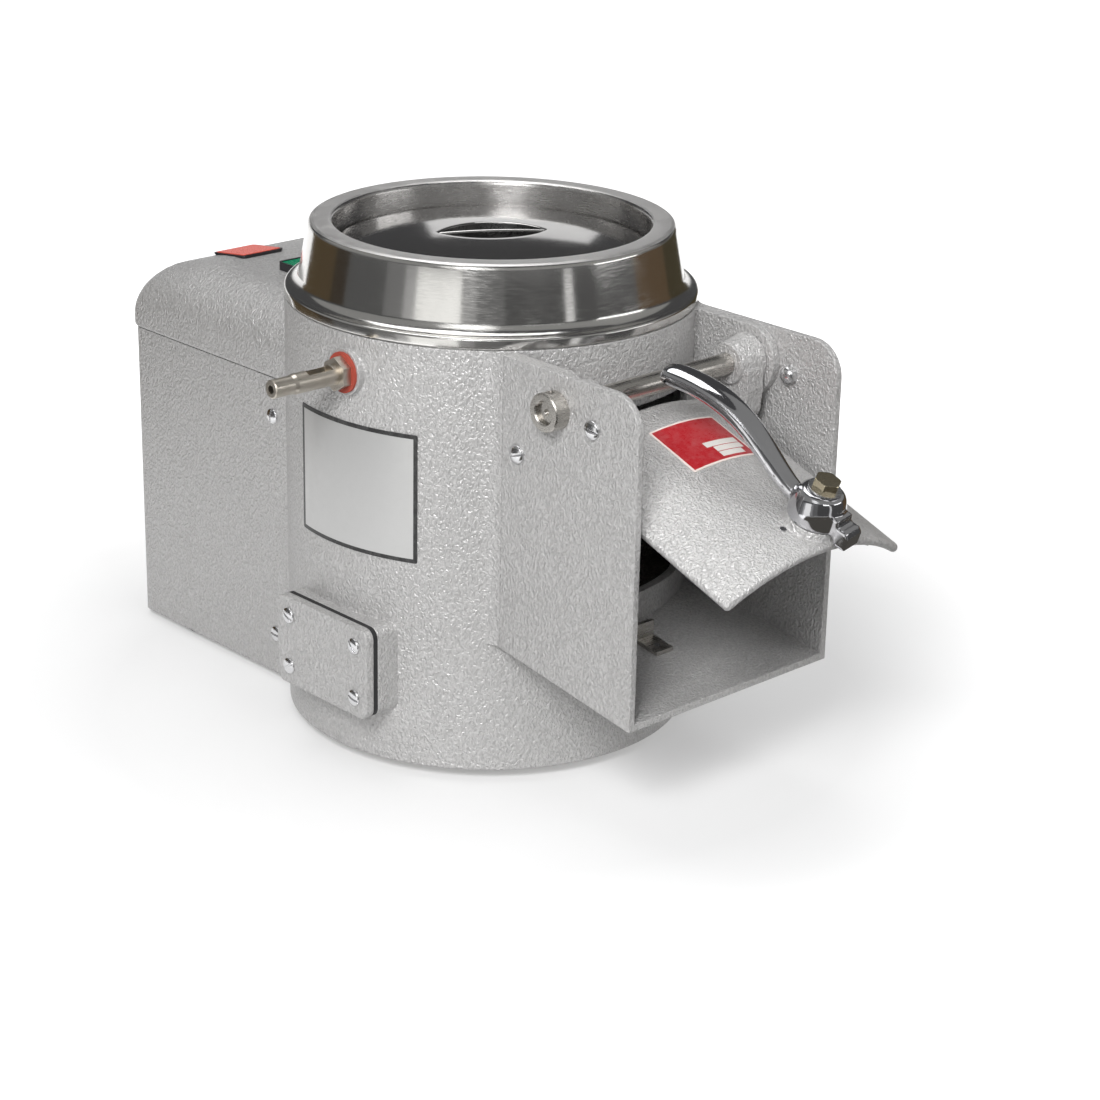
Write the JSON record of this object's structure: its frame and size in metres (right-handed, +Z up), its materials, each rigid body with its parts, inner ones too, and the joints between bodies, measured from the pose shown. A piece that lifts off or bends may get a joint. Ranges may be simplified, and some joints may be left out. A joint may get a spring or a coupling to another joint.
{
  "type": "electric potato peeler",
  "caption": "Bench-top potato peeler: cast drum with a turning abrasive plate, lift-off collar and lid, swing-up chute door with lever latch, rear motor housing with push buttons.",
  "frame": {"origin": "the drum's axis where it meets the bench", "axes": "+Z up, the chute and door face -Y, the motor housing is at +Y, the water inlet points to -X"},
  "size_m": [0.442, 0.6933, 0.389],
  "materials": {
    "hammered": "hammered silver-grey paint over cast aluminium",
    "stainless": "polished stainless steel",
    "steel": "bright steel",
    "zinc": "zinc-plated steel",
    "chromed": "chrome-plated casting",
    "yellow_zinc": "yellow passivated steel",
    "nickel": "nickel-plated brass",
    "rubber": "black rubber",
    "fibre": "red vulcanised fibre",
    "silver_plate": "bare silver plate with a black border",
    "red_plate": "bare red plate with a white border",
    "grit": "bonded abrasive grit",
    "cast_raw": "plain cast aluminium",
    "motor_paint": "blue-grey paint",
    "black_plastic": "black plastic",
    "green_plastic": "green plastic",
    "red_plastic": "red plastic",
    "pale_plastic": "pale plastic"
  },
  "bodies": {
    "base": {"drum": "hammered", "chute_guard": "hammered", "blanking_plate": "hammered", "waste_outlet": "hammered", "motor_casing": "hammered", "casing_cover": "hammered", "hinge_shaft": "steel", "shaft_collars": "steel", "collar_grub_screws": "steel", "upper_bearing": "steel", "lower_bearing": "steel", "base_plate": "steel", "motor_bolts": "steel", "door_catch": "steel", "housing_screws": "zinc", "guard_screws": "zinc", "chute_side_screws": "zinc", "catch_screws": "zinc", "blanking_screws": "zinc", "outlet_screws": "zinc", "casing_screws": "zinc", "cover_screws": "zinc", "base_screws": "zinc", "foot_screws": "zinc", "water_inlet": "nickel", "inlet_nut": "nickel", "inlet_lock_nut": "nickel", "blanking_gasket": "rubber", "outlet_gasket": "rubber", "feet": "rubber", "shaft_seal": "rubber", "drive_belt": "rubber", "inlet_washer": "fibre", "instruction_plate": "silver_plate", "bearing_housing": "cast_raw", "capacitor": "cast_raw", "motor_body": "motor_paint", "motor_bracket": "motor_paint", "start_switch": "black_plastic", "stop_switch": "black_plastic", "cable_gland": "black_plastic", "gland_lock_nut": "black_plastic", "terminal_block": "pale_plastic"},
    "collar": {"collar": "stainless"},
    "lid": {"lid": "stainless"},
    "spindle": {"spindle": "steel", "spindle_circlip": "steel", "driven_pulley": "cast_raw"},
    "plate": {"peeler_plate": "cast_raw", "abrasive_disc": "grit"},
    "rotor": {"motor_rotor": "steel", "motor_pulley": "cast_raw"},
    "door": {"door_casting": "hammered", "door_liner": "rubber", "rating_plate": "red_plate", "latch_bolt": "yellow_zinc", "latch_washer": "zinc"},
    "lever": {"latch_lever": "chromed"},
    "start": {"start_button": "green_plastic"},
    "stop": {"stop_button": "red_plastic"}
  },
  "joints": [
    {"name": "collar_lift", "type": "slide", "parent": "base", "child": "collar", "axis": [0, 0, 1], "range_m": [0, 0.06]},
    {"name": "lid_lift", "type": "slide", "parent": "collar", "child": "lid", "axis": [0, 0, 1], "range_m": [0, 0.04]},
    {"name": "motor_spin", "type": "hinge", "parent": "base", "child": "rotor", "pos_m": [0, 0.237, 0.12], "axis": [0, 0, 1], "continuous": true},
    {"name": "spindle_spin", "type": "hinge", "parent": "base", "child": "spindle", "pos_m": [0, 0, 0.08], "axis": [0, 0, 1], "continuous": true},
    {"name": "plate_lift", "type": "slide", "parent": "spindle", "child": "plate", "axis": [0, 0, 1], "range_m": [0, 0.05]},
    {"name": "door_swing", "type": "hinge", "parent": "base", "child": "door", "pos_m": [0, -0.1803, 0.3052], "axis": [-1, 0, 0], "range_deg": [-70.5, 14.5]},
    {"name": "lever_turn", "type": "hinge", "parent": "door", "child": "lever", "pos_m": [0.008, -0.32141, 0.23635], "axis": [0, -0.3338, 0.9426], "range_deg": [-38, 20]},
    {"name": "start_press", "type": "slide", "parent": "base", "child": "start", "axis": [0, 0, -1], "range_m": [0, 0.003], "stiffness_N_per_m": 400, "springref_m": -0.001},
    {"name": "stop_press", "type": "slide", "parent": "base", "child": "stop", "axis": [0, -0.1305, -0.9914], "range_m": [0, 0.003], "stiffness_N_per_m": 400, "springref_m": -0.001}
  ],
  "couplings": [
    {"joint": "spindle_spin", "follows": "motor_spin", "ratio": 0.32143}
  ]
}
